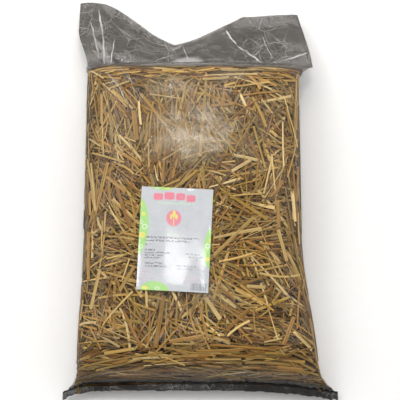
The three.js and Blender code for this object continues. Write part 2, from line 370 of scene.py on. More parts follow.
def dress_piece(mesh, material, slot, *replaced, sharp=math.radians(40)):
    mesh.shade_smooth()
    mesh.set_sharp_from_angle(angle=sharp)
    mesh.materials.append(material)
    piece = bpy.data.objects.new(mesh.name, mesh)
    bpy.context.scene.collection.objects.link(piece)
    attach(piece, "root")
    if replaced:
        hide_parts(*replaced)
    return piece


def surface_normals(points):
    """Unit normals of a grid of points, rows along the bag and columns round it, pointing outwards."""
    along = np.gradient(points, axis=0)
    ringed = np.concatenate([points[:, -2:-1], points, points[:, 1:2]], axis=1)
    around = ringed[:, 2:] - ringed[:, :-2]
    normals = np.cross(along, around)
    length = np.linalg.norm(normals, axis=-1, keepdims=True)
    return normals / np.maximum(length, 1e-12)


def bumps(points, scale, seed=0.0, octaves=1):
    """Smooth noise, about -1 to 1, at each point of a grid. scale is the size of a bump in metres."""
    flat = (points.reshape(-1, 3) / scale + seed).tolist()
    total = np.array([noise.noise(p) for p in flat])
    for octave in range(1, octaves):
        total += np.array([noise.noise([c * 2 ** octave for c in p]) for p in flat]) / 2 ** octave
    return total.reshape(points.shape[:-1])


# ---- The film ----

RING_COLUMNS = 248
GATHERED = 0.7  # how strongly columns are gathered over the flat front and back
LUMP_SIZE, FINE_LUMP_SIZE, WANDER_SIZE = 0.021, 0.008, 0.045
# Gathers of the film at a seam: height, how far they reach, waves in a metre, and how far these wander.
NECK_GATHERS, FOOT_GATHERS = (1.3 * MM, 0.026, 520, 2.5), (1.1 * MM, 0.020, 610, 3.0)
FAN_HEIGHT, FAN_RAYS, FAN_START = 1.6 * MM, 19, 0.02
CORNER_FANS = ((-NECK_HALF, NECK_Y, 0.045), (NECK_HALF, NECK_Y, 0.036),
               (-0.180, FOOT_Y, 0.040), (0.180, FOOT_Y, 0.045))  # X, Y and reach of the corners' wrinkles
# Patches of painted glare on the body film, where it catches the light: X, Y, half sizes and strength.
PAINTED_GLARE_PATCHES = ((-0.014, 0.064, 0.070, 0.050, 1.0), (0.060, 0.045, 0.035, 0.030, 0.5),
                (-0.045, 0.132, 0.040, 0.022, 0.75), (0.045, 0.150, 0.032, 0.016, 0.65),
                (0.010, -0.165, 0.034, 0.018, 0.5), (-0.060, -0.170, 0.020, 0.024, 0.35))


def ring_angles():
    """Angles once round the bag, gathered over its flat front and back, with the last on the first."""
    angles = np.linspace(0, 2 * math.pi, RING_COLUMNS + 1)
    return angles - GATHERED / 4 * np.sin(4 * angles)


def body_rows():
    """Places along the filled bag, closer together where it curves."""
    foot = FOOT_Y + FOOT_TAPER * (1 - np.cos(np.linspace(0, math.pi / 2, 28)[:-1]))
    neck = NECK_Y - NECK_TAPER * (1 - np.cos(np.linspace(math.pi / 2, 0, 24)))
    body = np.linspace(FOOT_Y + FOOT_TAPER, NECK_Y - NECK_TAPER, 96)[:-1]
    return np.concatenate([foot, body, neck])


def body_relief(points, angles, full, lumps):
    """How far the filled bag's film stands out: lumps of straw, gathers at the seams, fans at the corners."""
    x, y = points[..., 0], points[..., 1]
    relief = lumps * full * (0.5 + 0.6 * bumps(points, LUMP_SIZE) + 0.35 * bumps(points, FINE_LUMP_SIZE, 3.0))
    wander = bumps(points, WANDER_SIZE, 7.0)
    gathers = 0
    for (height, reach, waves, drift), from_seam in ((NECK_GATHERS, NECK_Y - y), (FOOT_GATHERS, y - FOOT_Y)):
        gathers += height * np.exp(-from_seam / reach) * (0.5 + 0.5 * np.sin(x * waves + drift * wander))
    relief += gathers * (1 - full) ** 0.3
    for corner_x, corner_y, reach in CORNER_FANS:
        away = np.hypot(x - corner_x, y - corner_y)
        turn = np.arctan2(y - corner_y, x - corner_x)
        fan = np.maximum(0, np.sin(turn * FAN_RAYS + 2 * wander)) ** 2
        relief += FAN_HEIGHT * fan * np.exp(-away / reach) * smooth(away / FAN_START)
    return relief * smooth(np.sin(angles) * 3 + 0.6)  # the floor keeps the underside flat


def crease_relief(creases, x, past_neck):
    """Height of a list of creases at each place."""
    height = np.zeros_like(x)
    for i, ((x0, y0), (x1, y1), rise, half, _) in enumerate(creases):
        dx, dy = x1 - x0, y1 - y0
        share = clamp01(((x - x0) * dx + (past_neck - y0) * dy) / (dx * dx + dy * dy))
        wander = 2.2 * MM * np.sin(share * 17 + i * 2.1) * np.sin(math.pi * share)
        away = np.hypot(x - x0 - share * dx - wander, past_neck - y0 - share * dy)
        ends = np.sin(math.pi * (0.12 + 0.76 * share)) ** 0.6
        height += rise * MM * ends * np.exp(-away / (max(half, 2.2) * MM))
    return height


def collar_lift(flat, share, angles):
    """How far each point of the collar is lifted off its plain surface, and the painted highlight on its
    bubble.
    """
    past_neck = flat[..., 1] - NECK_Y
    level = flat * [1, 1, 0]
    crease = crease_relief(CREASES, flat[..., 0], past_neck)
    sheet = 3.2 * MM * bumps(level, 0.045, 2.0, 2) + 0.9 * MM * bumps(level * [1.6, 0.7, 1], 0.012, 5.0, 2)
    off_bubble = np.hypot((flat[..., 0] - BUBBLE["x"]) / BUBBLE["half_x"],
                          (past_neck - BUBBLE["y"]) / BUBBLE["half_y"])
    bubble = BUBBLE["height"] * np.exp(-off_bubble ** 4)
    across = signed_power(np.cos(angles), 2 / PLAN_POWER)
    apart = 0.6 * MM + 2.2 * MM * share * (0.5 + 0.5 * bumps(level, 0.03, 11.0))
    both = sheet + 0.4 * crease
    layer = (1 - np.abs(across) ** 8) * np.where(np.sin(angles) >= 0, apart + 0.6 * crease + bubble, -apart)
    # The second value is a painted highlight on the bubble.
    return smooth(share * 5) * (both + layer), 0.55 * np.exp(-off_bubble ** 6)


def closing_row(ring, step):
    """The line on which the front and the back of a flattened ring meet, a step beyond it."""
    closed = (ring + ring[::-1]) / 2
    closed[:, 1] += step
    return closed[None]


def film_masks(points, angles, smoke, white, shade):
    """The film's masks at each point, as (smoke, whitening of the hem's weld and painted highlight on the
    collar's bubble, painted glare, painted shade).
    """
    glare = np.zeros(points.shape[:-1])
    for x, y, half_x, half_y, strength in PAINTED_GLARE_PATCHES:
        away = np.hypot((points[..., 0] - x) / half_x, (points[..., 1] - y) / half_y)
        glare = np.maximum(glare, strength * np.exp(-away ** 2))
    front = smooth(np.sin(angles) * 4)
    return np.stack([smoke, white, glare * front, shade], -1)


def film_grid(wall, lumps):
    """The film as one grid, out from the hem to the mouth and back down the inside, with its masks."""
    around = ring_angles()
    rows_y, angles = np.meshgrid(body_rows(), around, indexing="ij")
    plain = body_point(rows_y, angles)
    full = section(rows_y)["full"]
    crease = crease_relief(BODY_CREASES, plain[..., 0], plain[..., 1] - NECK_Y)
    raised = body_relief(plain, angles, full, lumps) + crease * smooth(np.sin(angles) * 4)
    relief = surface_normals(plain) * raised[..., None]
    body_out, body_in = plain + relief, body_point(rows_y, angles, wall) + relief
    past_foot = rows_y - FOOT_Y
    # Painted shade: the film is darkened along the foot of the bag.
    painted_foot_shade = np.maximum(np.exp(-(past_foot / (3 * MM)) ** 2), 0.35 * np.exp(-(past_foot / (9 * MM)) ** 2))
    level = plain * [1, 0, 0]
    across = plain[..., 0] / NECK_HALF
    neck_reach = MM * (10 + 10 * (1 - np.minimum(1, np.abs(across)) ** 3) + 2 * bumps(level, 0.05, 14.0))
    at_neck = smooth(0.5 + (neck_reach - NECK_Y + rows_y) / (5 * MM)) * 0.85
    body_masks = film_masks(plain, angles, at_neck, 0 * full, painted_foot_shade)

    share, collar_angles = np.meshgrid(np.linspace(0, 1, 44)[1:], around, indexing="ij")
    flat = collar_point(share, collar_angles, 0 * share)
    lift, white = collar_lift(flat, share, collar_angles)
    skin = SEAM_SKIN * mix(1.0, 0.8, share)
    raised = lift[..., None] * np.array([0.0, 0.0, 1.0])
    collar_out = collar_point(share, collar_angles, skin) + raised
    collar_in = collar_point(share, collar_angles, skin - wall) + raised
    collar_masks = film_masks(flat, collar_angles, mix(0.75, 1.0, smooth(share * 6)), white, 0 * share)

    back_from_weld, hem_angles = np.meshgrid(np.linspace(1, 0, 6)[:-1], around, indexing="ij")
    hem = np.repeat(body_out[:1], len(back_from_weld), axis=0)
    level = hem * [1, 0, 0]
    hem[..., 1] -= back_from_weld * (HEM + 1.5 * MM * bumps(level, 0.016, 8.0))
    hem[..., 2] += 1.4 * MM * back_from_weld * bumps(level, 0.03, 4.0)
    none = 0 * back_from_weld
    weld = 0.30 * (np.abs(back_from_weld - 0.2) < 0.1) * smooth(2.5 * bumps(level, 0.007, 17.0))
    # The whole hem is darkened with painted shade.
    hem_masks = film_masks(hem, hem_angles, none + 1, weld, none + 1)

    points = np.concatenate([
        closing_row(hem[0], -0.3 * MM), hem, body_out, collar_out,
        collar_in[::-1], body_in[::-1], closing_row(body_in[0], -0.3 * MM)])
    masks = np.concatenate([
        hem_masks[:1], hem_masks, body_masks, collar_masks,
        collar_masks[::-1], body_masks[::-1], body_masks[:1]])
    return points, masks


def grid_bmesh(points, values, layer_name):
    """A bmesh grid moved to a grid of points, with masks at each and its touching edges merged."""
    rows, columns = points.shape[:2]
    bm = bmesh.new()
    layer = bm.verts.layers.float_color.new(layer_name)
    made = bmesh.ops.create_grid(bm, x_segments=columns - 1, y_segments=rows - 1, size=1)
    places, colours = points.reshape(-1, 3).tolist(), values.reshape(-1, 4).tolist()
    for vert, place, value in zip(made["verts"], places, colours):
        vert.co = place
        vert[layer] = value
    bmesh.ops.remove_doubles(bm, verts=bm.verts, dist=1e-6)
    return bm


LINE_SHARE = 0.75  # width of a crease's painted glint as a share of the crease
WAVER = 0.012  # how far creases waver from a straight line


def crease_line(name):
    """A group that masks the painted glint of one crease: a long lens shape with a middle, a turn and half a
    length and width.
    """
    inputs = {"Place": ("Vector", None), "Middle": ("Vector", None), "Turn": ("Vector", None),
              "Half Size": ("Vector", None), "Strength": ("Float", 1.0)}
    tree, shader, inside, outside = new_group(name, inputs, {"Mask": "Float"})
    laid = shader.add("Mapping", {"Vector": inside.outputs["Place"], "Location": inside.outputs["Middle"],
                                  "Rotation": inside.outputs["Turn"], "Scale": inside.outputs["Half Size"]},
                      vector_type="TEXTURE")
    along, across, _ = shader.add("SeparateXYZ", {0: laid}).outputs
    squared = shader.times(along, along)
    away = shader.plus(shader.times(squared, squared), shader.math("ABSOLUTE", across))
    shader.wire(outside, {"Mask": shader.steps(away, 0.45, 1.05, inside.outputs["Strength"], 0.0)})
    return tree


def crease_lines(shader, place, shift):
    """The painted glint of every crease at a place that is shifted, the strongest where they cross."""
    tree, strongest = shared_group("crease line", crease_line), None
    for (x0, y0), (x1, y1), _, half, strength in CREASES + BODY_CREASES:
        middle = ((x0 + x1) / 2 + shift, NECK_Y + (y0 + y1) / 2 + shift, 0)
        half_size = (math.hypot(x1 - x0, y1 - y0) / 2, LINE_SHARE * half * MM, 1)
        line = shader.group(tree, Place=place, Middle=middle, Turn=(0, 0, math.atan2(y1 - y0, x1 - x0)),
                            Half_Size=half_size, Strength=strength)
        strongest = line if strongest is None else shader.larger(strongest, line)
    return strongest


def film_material(settings):
    """Clear film: a thin mirror, smoky where it lies double, near black with painted shade along the foot and
    over the hem, and pale with painted glare over its glare patches, painted glints along creases and ridges
    and on the collar's bubble, and a paler weld line at the hem.
    """
    material, shader, surface = new_material("clear film")
    masks = shader.add("Attribute", attribute_name="film_masks")
    # Masks: smoke; the hem's weld line and the bubble's painted highlight; painted glare; and in the alpha,
    # painted shade.
    smoke, white, glare = shader.add("SeparateColor", {0: masks.outputs["Color"]}).outputs[:3]
    shade = masks.outputs["Alpha"]
    place = shader.add("TexCoord").outputs["Object"]
    warp = shader.noise(place, 22, 3, 0.55).outputs["Color"]
    bent = shader.offset(warp, (0.016,) * 3, place)
    folds = shader.noise(place, 38, 4, 0.6, 0.6)
    mottle = shader.noise(place, 34, 6, 0.72)
    patches = shader.noise(place, 15, 2, 0.5)
    facets, ridges = shader.add("TexVoronoi", {"Vector": bent, "Scale": 46.0}), []
    for scale, width in ((31.0, 0.018), (88.0, 0.034)):
        edge = shader.add("TexVoronoi", {"Vector": bent, "Scale": scale}, feature="DISTANCE_TO_EDGE")
        ridges.append(shader.steps(edge, 0.0, width, 1.0, 0.0))
    creases = shader.times(shader.larger(ridges[0], shader.times(ridges[1], 0.6)),
                           shader.steps(patches, 0.42, 0.66))
    relief = shader.plus(shader.plus(folds, shader.times(facets, 0.45)),
                         shader.times(creases, shader.steps(smoke, 0.0, 1.0, 0.12, 0.16)))
    bump = shader.add("Bump", {"Strength": 0.8, "Distance": 2.6 * MM, "Height": relief})
    # Painted glare, mottled.
    painted_glare = shader.times(glare, shader.steps(mottle, 0.36, 0.68, 0.45, 1.0))
    # Painted glints on the ridges of the crumpled film where it is smoky or under painted glare.
    ridge_glints = shader.times(creases, shader.larger(shader.times(smoke, 0.62), shader.times(glare, 0.7)))
    # Painted glints along the creases.
    lines = crease_lines(shader, shader.offset(warp, (WAVER, WAVER, 0), place), WAVER / 2)
    ragged_crease_glints = shader.times(lines, shader.steps(mottle, 0.38, 0.56, 0.25, 1.0))
    # Every painted glint and highlight, and the hem's weld line.
    whitened = shader.larger(shader.larger(ragged_crease_glints, ridge_glints), white)
    smoky = shader.blend(shader.steps(mottle, 0.3, 0.7), settings.smoke_tint,
                         tuple(1.6 * c for c in settings.smoke_tint))
    # Where the film turns pale: painted glints, the weld line, and painted glare where the film is not smoky.
    glare_glints_and_weld = shader.larger(whitened, shader.math("SUBTRACT", painted_glare, smoke, clamp=True))
    cloudy = shader.steps(shader.larger(glare_glints_and_weld, shader.larger(smoke, shade)), 0.0, 0.15)
    # Near black where painted shade darkens the film along the foot and over the hem.
    dark = shader.blend(shader.steps(shade, 0.0, 0.3), smoky, (0.010, 0.008, 0.007))
    # Colours of the painted glare and of the painted glints and weld line.
    pale = shader.blend(shader.steps(whitened, 0.0, 0.25), settings.haze_tint, settings.crease_tint)
    colour = shader.blend(glare_glints_and_weld, dark, pale)
    mirror = shader.add("Fresnel", {"IOR": 1.5, "Normal": bump})
    clear = shader.steps(mirror, 0.03, 0.8, 0.009, 0.040)
    # Smoky film and painted shade make the film nearly opaque.
    solid = shader.larger(shader.times(smoke, shader.steps(mottle, 0.25, 0.8, 0.64, 0.54)),
                          shader.times(shade, 0.80))
    # Painted glare and glints cover the clear film.
    veil = shader.larger(shader.times(painted_glare, 0.33), shader.times(whitened, 0.75))
    shader.wire(surface, {
        "Base Color": shader.blend(cloudy, (0.92, 0.93, 0.94), colour),
        "Metallic": shader.math("SUBTRACT", 1.0, cloudy, clamp=True),
        "Alpha": shader.larger(shader.larger(clear, solid), veil),
        "Roughness": shader.steps(mottle, 0.3, 0.7, 0.10, 0.20),
        "Normal": bump, "Specular IOR Level": 0.5, "Coat Weight": 0.15, "Coat Roughness": 0.08})
    return material


class STRAWBAG_OT_film(bpy.types.Operator):
    """Makes the bag: a tube of clear film, welded at the foot, filled, and pressed flat beyond the neck"""

    bl_idname = "strawbag.film"
    bl_label = "Film bag"

    def execute(self, context):
        settings = context.scene.bag_film
        points, masks = film_grid(settings.wall, settings.lumps)
        bm = grid_bmesh(points, masks, "film_masks")
        finish_piece(bm, "clear_film_bag", film_material(settings), "film", "film_bag", sharp=math.pi)
        return {"FINISHED"}


# ---- The label ----

LABEL_TURN = math.radians(-3)
LABEL_GAP, PAPER_THICKNESS = 0.45 * MM, 0.18 * MM
# Everything printed, from the bottom up: shape, colour name, strength, and for each one its centre and
# half size in millimetres from the label's top-left corner. A dash is a line of broken strokes.
PRINT = [
    ("blob", "green", 1.0, [(-2, 55, 14.5, 39), (29, -2.5, 18, 6.5), (102, 81, 11.5, 28),
                            (25, 144.5, 21, 15)]),
    ("blob", "green", 0.9, [(102, 13, 3.2, 11)]),
    ("blob", "yellow", 0.9, [(4.5, 67, 4.4, 4.2), (97, 96, 3.2, 3.0), (12, 139, 4.2, 3.0)]),
    ("blob", "yellow", 0.8, [(4.5, 38, 3.0, 2.8)]),
    ("blob", "yellow", 0.6, [(1.0, 25, 1.6, 3.0), (36, 1.5, 4.0, 1.6)]),
    ("blob", "yellow", 0.5, [(99, 70, 1.8, 4.0)]),
    ("ring", "white", 0.5, [(7, 55.5, 4.0, 4.0), (2, 49, 2.4, 2.8), (3, 83, 3.2, 3.2),
                            (29, 139, 3.4, 2.6), (22, 1.5, 3.0, 1.8)]),
    ("ring", "white", 0.55, [(96, 78, 3.6, 3.6)]),
    ("bar", "pink", 0.95, [(24, 13.2, 6.6, 4.8), (39.5, 11.6, 7.2, 5.2), (55, 12.0, 6.4, 4.9),
                           (69.5, 14.0, 6.4, 4.8)]),
    ("blob", "pink", 0.85, [(47, 42, 10.5, 11)]),
    ("blob", "yellow", 0.95, [(47, 36, 2.2, 4.6)]),
    ("blob", "yellow", 0.9, [(43.4, 40, 1.8, 3.6), (50.6, 40, 1.8, 3.6)]),
    ("bar", "yellow", 0.9, [(47, 46, 0.6, 6.5)]),
    ("dash", "pale_green", 0.8, [(49, 21.6, 25, 1.7), (46, 64.5, 9, 1.6)]),
    ("dash", "grey", 1.0, [(46, 69.4, 37, 1.3), (40, 73.6, 31, 1.3), (26, 108.8, 15, 1.3)]),
    ("dash", "grey", 0.9, [(13.5, 79.6, 5.2, 1.2), (16, 86.8, 7, 1.3), (27, 90.4, 18, 1.3),
                           (22, 94, 13, 1.3), (20, 97.6, 11, 1.3), (22, 105, 12, 1.3)]),
    ("dash", "grey", 0.7, [(76, 90.4, 10, 1.2), (80, 94.6, 10, 1.2), (68, 107, 14, 1.2)]),
    ("dash", "grey", 0.6, [(84, 98.6, 5, 1.1), (66, 111, 10, 1.2)]),
    ("dash", "pale_pink", 0.8, [(12, 115, 8, 0.9), (13, 119.4, 9, 0.9), (12, 123.8, 8, 0.9),
                                (37, 119.4, 6, 0.9), (74, 121.6, 17, 0.9), (74, 125.4, 18, 0.9)]),
    ("dash", "pale_pink", 0.7, [(11, 128.2, 5, 0.9)]),
    ("dash", "pale_pink", 0.6, [(70, 129, 13, 0.9)]),
    ("stripes", "grey", 1.0, [(86.5, 134.8, 11, 5.2)]),
]


def printed_shape(name):
    """A group that masks one printed shape: a box or an ellipse at a place on the label."""
    inputs = {"Place": ("Vector", None), "Centre": ("Vector", None), "Half Size": ("Vector", None),
              "Round": ("Float", 0.0), "Edge": ("Float", 0.03)}
    tree, shader, inside, outside = new_group(name, inputs, {"Mask": "Float", "Distance": "Float"})
    place, centre, half_size = (inside.outputs[socket] for socket in ("Place", "Centre", "Half Size"))
    offset = shader.add("VectorMath", {0: place, 1: centre}, operation="SUBTRACT")
    scaled = shader.add("VectorMath", {0: offset, 1: half_size}, operation="DIVIDE")
    length = shader.add("VectorMath", {0: scaled}, operation="LENGTH").outputs["Value"]
    sides = shader.add("SeparateXYZ", {0: shader.add("VectorMath", {0: scaled}, operation="ABSOLUTE")})
    box = shader.larger(sides.outputs[0], sides.outputs[1])
    away = shader.add("Mix", {0: inside.outputs["Round"], 2: box, 3: length}, data_type="FLOAT").outputs[0]
    low = shader.math("SUBTRACT", 1.0, inside.outputs["Edge"])
    high = shader.plus(1.0, inside.outputs["Edge"])
    shader.wire(outside, {"Mask": shader.steps(away, low, high, 1.0, 0.0), "Distance": away})
    return tree


def label_material(settings):
    material, shader, surface = new_material("printed label paper")
    uv = shader.add("UVMap", uv_map="label").outputs[0]
    size = (settings.width / MM, -settings.height / MM, 0)
    place = shader.offset(uv, size, (0, settings.height / MM, 0))
    across = shader.add("SeparateXYZ", {0: place}).outputs[0]
    colours = {
        "green": tuple(settings.leaf_green), "yellow": (0.72, 0.66, 0.16), "white": (0.80, 0.84, 0.78),
        "pink": tuple(settings.heading), "pale_green": (0.50, 0.70, 0.50), "grey": (0.16, 0.16, 0.19),
        "pale_pink": (0.66, 0.50, 0.56),
    }
    words = shader.steps(shader.noise(place, 0.42, 1, 0.4), 0.44, 0.50)
    letters = shader.steps(shader.noise(place, 1.9, 1, 0.4), 0.36, 0.52, 0.35, 1.0)
    dashes = shader.times(words, letters)
    bars = shader.steps(shader.add("TexNoise", {"W": across, "Scale": 1.5, "Detail": 2.0, "Roughness": 0.9},
                                   noise_dimensions="1D"), 0.50, 0.53)
    colour = shader.blend(shader.steps(shader.noise(place, 0.05), 0.35, 0.7), settings.paper,
                          tuple(0.93 * c for c in settings.paper))
    tree = shared_group("printed shape", printed_shape)
    for shape, ink, strength, (x, y, half_x, half_y) in (
            (*kind, spot) for *kind, spots in PRINT for spot in spots):
        is_round = shape in ("blob", "ring")
        soft = 0.06 if is_round else 0.10
        mark = shader.group(tree, Place=place, Centre=(x, y, 0), Half_Size=(half_x, half_y, 1),
                            Round=1.0 if is_round else 0.3 * (shape == "bar"), Edge=soft)
        mask = mark.outputs["Mask"]
        if shape == "ring":
            mask = shader.times(mask, shader.steps(mark.outputs["Distance"], 0.45, 0.65))
        if shape in ("dash", "stripes"):
            mask = shader.times(mask, dashes if shape == "dash" else bars)
        colour = shader.blend(shader.times(mask, strength), colour, colours[ink])
    rub = shader.noise(place, 0.09, 4, 0.6)
    fibres = shader.plus(rub, shader.times(shader.noise(place, 1.2), 0.05))
    bump = shader.add("Bump", {"Strength": 0.7, "Distance": 1.6 * MM, "Height": fibres})
    shader.wire(surface, {"Base Color": colour, "Roughness": shader.steps(rub, 0.3, 0.7, 0.16, 0.30),
                          "Normal": bump, "Coat Weight": 0.6, "Coat Roughness": 0.10})
    return material


class STRAWBAG_OT_label(bpy.types.Operator):
    """Makes the paper label, which lies on the front film with its edges a little lifted"""

    bl_idname = "strawbag.label"
    bl_label = "Paper label"

    def execute(self, context):
        settings = context.scene.bag_label
        low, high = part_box("paper_label")
        bm = bmesh.new()
        uv = bm.loops.layers.uv.new("label")
        bmesh.ops.create_grid(bm, x_segments=48, y_segments=68, size=0.5)
        for face in bm.faces:
            for loop in face.loops:
                loop[uv].uv = (loop.vert.co.x + 0.5, loop.vert.co.y + 0.5)
        cosine, sine = math.cos(LABEL_TURN), math.sin(LABEL_TURN)
        for vert in bm.verts:
            u, v = vert.co.x, vert.co.y
            x = (low.x + high.x) / 2 + settings.width * u * cosine - settings.height * v * sine
            y = (low.y + high.y) / 2 + settings.width * u * sine + settings.height * v * cosine
            cockle = 0.35 * MM * (1 + noise.noise((x / 0.026, y / 0.040, 1.5)))
            to_edge = 2 * max(abs(u), abs(v))
            curl = 1.2 * MM * to_edge ** 10 * (0.6 + 0.4 * noise.noise((x / 0.03, y / 0.03, 6)))
            vert.co = (x, y, float(front_height(x, y)) + LABEL_GAP + cockle + curl)
        bmesh.ops.recalc_face_normals(bm, faces=bm.faces)
        if sum(face.normal.z for face in bm.faces) < 0:
            bmesh.ops.reverse_faces(bm, faces=bm.faces)
        bmesh.ops.solidify(bm, geom=bm.faces[:], thickness=PAPER_THICKNESS)
        finish_piece(bm, "printed_paper_label", label_material(settings), "paper", "paper_label")
        return {"FINISHED"}


# ---- Straw: what one straw of each kind looks like ----

def lay_along_x(bm):
    bmesh.ops.rotate(bm, verts=bm.verts, cent=(0, 0, 0), matrix=Matrix.Rotation(math.pi / 2, 3, "Y"))
    bmesh.ops.translate(bm, verts=bm.verts, vec=(0.5, 0, 0))


def tube_straw(sides, spans, flatness, bore=0.0):
    """A unit straw along X, 1 long and 1 wide: a tube, with its ends sunk in if it has a bore."""
    bm = bmesh.new()
    bmesh.ops.create_cone(bm, cap_ends=True, segments=sides, radius1=0.5, radius2=0.5, depth=1)
    lay_along_x(bm)
    lengthwise = [e for e in bm.edges if abs(e.verts[0].co.x - e.verts[1].co.x) > 0.5]
    bmesh.ops.subdivide_edges(bm, edges=lengthwise, cuts=spans - 1)
    if bore:
        for cap in [f for f in bm.faces if len(f.verts) == sides]:
            outwards = 1 if cap.calc_center_median().x > 0.5 else -1
            bmesh.ops.inset_individual(bm, faces=[cap], thickness=0.12)
            bmesh.ops.translate(bm, verts=cap.verts, vec=(-outwards * bore, 0, 0))
    bmesh.ops.scale(bm, verts=bm.verts, vec=(1, 1, flatness))
    return bm


def sheet_straw(spans, ways, arch, wall):
    """A unit straw along X made of a thin sheet: a split culm if it arches, a leaf blade if it folds."""
    bm = bmesh.new()
    bmesh.ops.create_grid(bm, x_segments=spans, y_segments=ways, size=0.5)
    for vert in bm.verts:
        vert.co.z = arch * (1 - (2 * abs(vert.co.y)) ** 1.6)
        vert.co.x += 0.5
    bmesh.ops.solidify(bm, geom=bm.faces[:], thickness=wall)
    return bm


STRAW_KINDS = {
    "culm": lambda: tube_straw(6, 5, 0.82, 0.03),
    "pressed": lambda: tube_straw(5, 5, 0.42),
    "split": lambda: sheet_straw(5, 3, 0.30, 0.09),
    "blade": lambda: sheet_straw(6, 2, 0.10, 0.06),
    "stalk": lambda: tube_straw(4, 4, 0.80),
}
STRAW_THICKNESS = {"culm": 0.82, "pressed": 0.42, "split": 0.38, "blade": 0.20, "stalk": 0.80}


def unit_straw(kind):
    """The vertices and faces of a kind's unit straw."""
    bm = STRAW_KINDS[kind]()
    bmesh.ops.recalc_face_normals(bm, faces=bm.faces)
    bm.verts.index_update()
    verts = np.array([v.co for v in bm.verts])
    faces = [[v.index for v in f.verts] for f in bm.faces]
    bm.free()
    return verts, faces


def lay_straws(kind, paths, ups, widths, looks):
    """Copies of a kind's unit straw drawn along paths, as (vertices, faces, look of each vertex).

    paths and ups are (straws, places, 3), widths is (straws, ends) and looks is (straws, hue and value).
    """
    unit, faces = unit_straw(kind)
    count, places = paths.shape[:2]
    at = clamp01(unit[:, 0]) * (places - 1)
    low = np.minimum(at.astype(int), places - 2)
    share = (at - low)[None, :, None]
    line = mix(paths[:, low], paths[:, low + 1], share)
    up = mix(ups[:, low], ups[:, low + 1], share)
    along = paths[:, low + 1] - paths[:, low]
    along /= np.linalg.norm(along, axis=-1, keepdims=True)
    side = np.cross(up, along)
    side /= np.linalg.norm(side, axis=-1, keepdims=True)
    up = np.cross(along, side)
    width = mix(widths[:, :1], widths[:, 1:], clamp01(unit[:, 0])[None])[..., None]
    beyond = (unit[:, 0] - clamp01(unit[:, 0]))[None, :, None]
    sideways, upwards = unit[None, :, 1, None], unit[None, :, 2, None]
    verts = line + along * beyond * width + side * sideways * width + up * upwards * width
    length = np.linalg.norm(np.diff(paths, axis=1), axis=-1).sum(1)
    look = np.empty((count, len(unit), 4))
    look[..., :2] = looks[:, None]
    look[..., 2] = unit[None, :, 0] * length[:, None] * 10
    look[..., 3] = unit[None, :, 1] + 0.5
    starts = range(0, count * len(unit), len(unit))
    joined = [[i + start for i in face] for start in starts for face in faces]
    return verts.reshape(-1, 3), joined, look.reshape(-1, 4)


def straw_piece(name, parts, material, slot, *replaced):
    """One piece out of the straws of several kinds."""
    verts, faces, looks, start = [], [], [], 0
    for part_verts, part_faces, part_looks in parts:
        verts.append(part_verts)
        looks.append(part_looks)
        faces.extend([i + start for i in face] for face in part_faces)
        start += len(part_verts)
    mesh = bpy.data.meshes.new(name)
    mesh.from_pydata(np.concatenate(verts).tolist(), [], faces)
    attribute = mesh.attributes.new("straw_look", "FLOAT_COLOR", "POINT")
    attribute.data.foreach_set("color", np.concatenate(looks).astype(np.float32).ravel())
    return dress_piece(mesh, material, slot, *replaced, sharp=math.radians(50))


def straw_grain(name):
    """A group that turns a straw's colour into dry fibre: fine lines along it, blotches and paler ridges."""
    inputs = {"Look": ("Vector", None), "Across": ("Float", 0.0), "Place": ("Vector", None),
              "Colour": ("Color", (0.5, 0.4, 0.2, 1)), "Contrast": ("Float", 0.5)}
    outputs = {"Colour": "Color", "Roughness": "Float", "Height": "Float"}
    tree, shader, inside, outside = new_group(name, inputs, outputs)
    look = shader.add("SeparateXYZ", {0: inside.outputs["Look"]})
    fibre_place = shader.add("CombineXYZ", {
        0: shader.times(look.outputs[2], 2.2),
        1: shader.times(inside.outputs["Across"], 7.0),
        2: shader.times(shader.plus(look.outputs[0], look.outputs[1]), 83.0)})
    fibres = shader.noise(fibre_place, 1.0, 4, 0.62)
    bands = shader.noise(fibre_place, 0.55, 2, 0.5)
    blotches = shader.noise(inside.outputs["Place"], 150, 4, 0.65)
    darker = shader.blend(1.0, inside.outputs["Colour"], (0.42, 0.34, 0.26), way="MULTIPLY")
    paler = shader.blend(0.45, inside.outputs["Colour"], (0.82, 0.64, 0.34))
    lined = shader.blend(shader.steps(fibres, 0.30, 0.50, 1.0, 0.0), inside.outputs["Colour"], darker)
    lined = shader.blend(inside.outputs["Contrast"], inside.outputs["Colour"], lined)
    banded = shader.blend(shader.times(shader.steps(bands, 0.52, 0.70), 0.5), lined, paler)
    stained = shader.blend(shader.times(shader.steps(blotches, 0.60, 0.74), 0.55), banded, darker)
    shader.wire(outside, {"Colour": stained, "Roughness": shader.steps(fibres, 0.3, 0.7, 0.34, 0.58),
                          "Height": shader.plus(fibres, shader.times(blotches, 0.3))})
    return tree


STRAW_COLOURS = [
    (0.00, (0.080, 0.033, 0.007)), (0.14, (0.200, 0.082, 0.014)), (0.28, (0.325, 0.158, 0.026)),
    (0.48, (0.410, 0.228, 0.045)), (0.60, (0.330, 0.205, 0.034)), (0.72, (0.440, 0.262, 0.062)),
    (0.86, (0.530, 0.355, 0.112)), (1.00, (0.670, 0.500, 0.225)),
]


